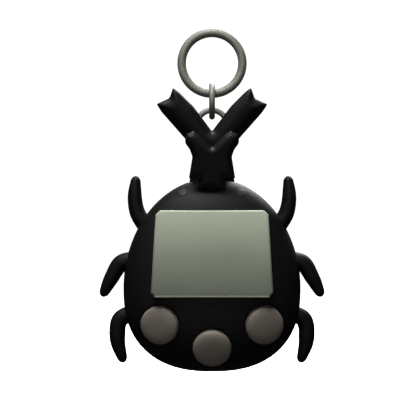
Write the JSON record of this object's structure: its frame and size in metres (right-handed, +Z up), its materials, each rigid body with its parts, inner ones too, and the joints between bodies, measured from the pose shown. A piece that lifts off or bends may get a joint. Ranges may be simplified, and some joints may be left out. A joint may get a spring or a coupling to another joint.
{
  "type": "virtual pet keychain",
  "caption": "Beetle-shaped pocket virtual pet with a grey-green screen and domed buttons, hung by a forked horn from two links on a key ring.",
  "frame": {"origin": "the point the whole thing hangs from: top of the inside of the key ring, in the middle of its wire", "axes": "+Z up along the chain, -Y out of the screen, +X to the right of someone who reads the screen"},
  "size_m": [0.0606, 0.0198, 0.0926],
  "materials": {
    "ring_metal": "satin nickel-plated wire, slightly yellowish grey",
    "case_plastic": "satin black moulded plastic",
    "eye_plastic": "satin dark grey moulded plastic",
    "lens_plastic": "grey-green display window, satin, with a faint pixel grid",
    "lcd_glass": "grey-green liquid crystal panel",
    "button_plastic": "warm grey, satin",
    "board_laminate": "green solder mask",
    "keypad_silicone": "translucent silicone",
    "zebra_rubber": "layered conductive rubber",
    "frame_plastic": "white moulded plastic",
    "chip_resin": "black resin",
    "screw_steel": "zinc-plated",
    "cell_metal": "bright nickel-plated can",
    "contact_brass": "thin plated sheet"
  },
  "bodies": {
    "key_ring": {"key_ring": "ring_metal"},
    "upper_link": {"upper_link": "ring_metal"},
    "lower_link": {"lower_link": "ring_metal"},
    "case": {"front_shell": "case_plastic", "rear_shell": "case_plastic", "horn": "case_plastic", "front_horn": "case_plastic", "leg_front_left": "case_plastic", "leg_front_right": "case_plastic", "leg_middle_left": "case_plastic", "leg_middle_right": "case_plastic", "leg_rear_left": "case_plastic", "leg_rear_right": "case_plastic", "eye_left": "eye_plastic", "eye_right": "eye_plastic", "screen_lens": "lens_plastic", "lcd_panel": "lcd_glass", "circuit_board": "board_laminate", "keypad": "keypad_silicone", "zebra_strip": "zebra_rubber", "lcd_frame": "frame_plastic", "chip_cover": "chip_resin", "capacitor": "chip_resin", "case_screw_1": "screw_steel", "case_screw_2": "screw_steel", "case_screw_3": "screw_steel", "case_screw_4": "screw_steel", "crystal": "screw_steel", "reset_switch": "screw_steel", "battery": "cell_metal", "battery_contact_positive": "contact_brass", "battery_contact_negative": "contact_brass", "buzzer": "contact_brass"},
    "button_left": {"button_left": "button_plastic"},
    "button_middle": {"button_middle": "button_plastic"},
    "button_right": {"button_right": "button_plastic"},
    "reset_button": {"reset_button": "button_plastic"},
    "battery_cover": {"battery_cover": "case_plastic", "battery_cover_screw": "screw_steel"}
  },
  "joints": [
    {"name": "upper_link_swing", "type": "hinge", "parent": "key_ring", "child": "upper_link", "pos_m": [0, 0, -0.01523], "axis": [1, 0, 0], "range_deg": [-20, 45]},
    {"name": "lower_link_swing", "type": "hinge", "parent": "upper_link", "child": "lower_link", "pos_m": [0, 0, -0.02143], "axis": [0, 1, 0], "range_deg": [-35, 35]},
    {"name": "case_swing", "type": "hinge", "parent": "lower_link", "child": "case", "pos_m": [0, 0, -0.02801], "axis": [1, 0, 0], "range_deg": [-8, 60]},
    {"name": "button_left_press", "type": "slide", "parent": "case", "child": "button_left", "axis": [0.2684, 0.9464, 0.1797], "range_m": [0, 0.0007], "stiffness_N_per_m": 1200},
    {"name": "button_middle_press", "type": "slide", "parent": "case", "child": "button_middle", "axis": [0, 0.9297, 0.3683], "range_m": [0, 0.0007], "stiffness_N_per_m": 1200},
    {"name": "button_right_press", "type": "slide", "parent": "case", "child": "button_right", "axis": [-0.2684, 0.9464, 0.1797], "range_m": [0, 0.0007], "stiffness_N_per_m": 1200},
    {"name": "reset_press", "type": "slide", "parent": "case", "child": "reset_button", "axis": [0, -1, 0], "range_m": [0, 0.0005], "stiffness_N_per_m": 1200},
    {"name": "battery_cover_lift", "type": "slide", "parent": "case", "child": "battery_cover", "axis": [0, 1, 0], "range_m": [0, 0.012]}
  ]
}
